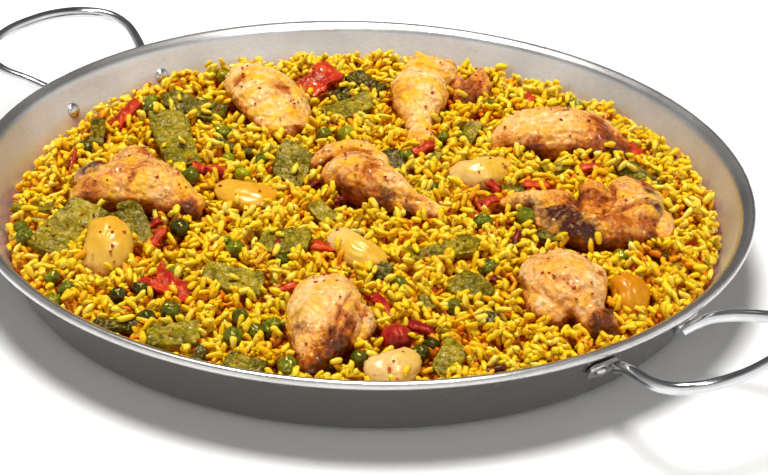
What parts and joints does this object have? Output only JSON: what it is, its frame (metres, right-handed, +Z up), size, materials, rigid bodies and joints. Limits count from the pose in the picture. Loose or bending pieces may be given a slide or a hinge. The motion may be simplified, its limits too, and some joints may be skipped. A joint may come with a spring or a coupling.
{
  "type": "paella in a pan",
  "caption": "Saffron rice paella with chicken, butter beans, flat green beans, peas and red pepper, in a round steel pan with two riveted wire handles.",
  "frame": {"origin": "centre of the pan's flat underside", "axes": "+Z up out of the pan; the two handles lie along X, with the nearer one on +X"},
  "size_m": [0.5214, 0.4, 0.0467],
  "materials": {
    "pan_steel": "brushed carbon steel sheet, satin, brighter on the rolled lip",
    "chrome_wire": "bright chromed wire and rivets",
    "saffron_rice": null,
    "roast_chicken": null,
    "butter_bean": null,
    "flat_bean": null,
    "red_pepper": null,
    "pea": null
  },
  "bodies": {
    "root": {"pan": "pan_steel", "handle_right": "chrome_wire", "handle_left": "chrome_wire", "rivet_right_1": "chrome_wire", "rivet_right_2": "chrome_wire", "rivet_left_1": "chrome_wire", "rivet_left_2": "chrome_wire", "rice": "saffron_rice", "chicken_broad_wing": "roast_chicken", "chicken_drumette_back": "roast_chicken", "chicken_scrap_back": "roast_chicken", "chicken_breast_right": "roast_chicken", "chicken_folded_wing": "roast_chicken", "chicken_wing_left": "roast_chicken", "chicken_drumette_middle": "roast_chicken", "chicken_wing_front": "roast_chicken", "chicken_wing_right": "roast_chicken", "butter_bean_1": "butter_bean", "butter_bean_2": "butter_bean", "butter_bean_3": "butter_bean", "butter_bean_4": "butter_bean", "butter_bean_5": "butter_bean", "butter_bean_6": "butter_bean", "flat_bean_1": "flat_bean", "flat_bean_2": "flat_bean", "flat_bean_3": "flat_bean", "flat_bean_4": "flat_bean", "flat_bean_5": "flat_bean", "flat_bean_6": "flat_bean", "flat_bean_7": "flat_bean", "flat_bean_8": "flat_bean", "flat_bean_9": "flat_bean", "flat_bean_10": "flat_bean", "flat_bean_11": "flat_bean", "flat_bean_12": "flat_bean", "flat_bean_13": "flat_bean", "flat_bean_14": "flat_bean", "flat_bean_15": "flat_bean", "flat_bean_16": "flat_bean", "flat_bean_17": "flat_bean", "flat_bean_18": "flat_bean", "flat_bean_19": "flat_bean", "flat_bean_20": "flat_bean", "flat_bean_21": "flat_bean", "pepper_1": "red_pepper", "pepper_2": "red_pepper", "pepper_3": "red_pepper", "pepper_4": "red_pepper", "pepper_5": "red_pepper", "pepper_6": "red_pepper", "pepper_7": "red_pepper", "pepper_8": "red_pepper", "cherry_tomato": "red_pepper", "pea_1": "pea", "pea_2": "pea", "pea_3": "pea", "pea_4": "pea", "pea_5": "pea", "pea_6": "pea", "pea_7": "pea"}
  },
  "joints": []
}
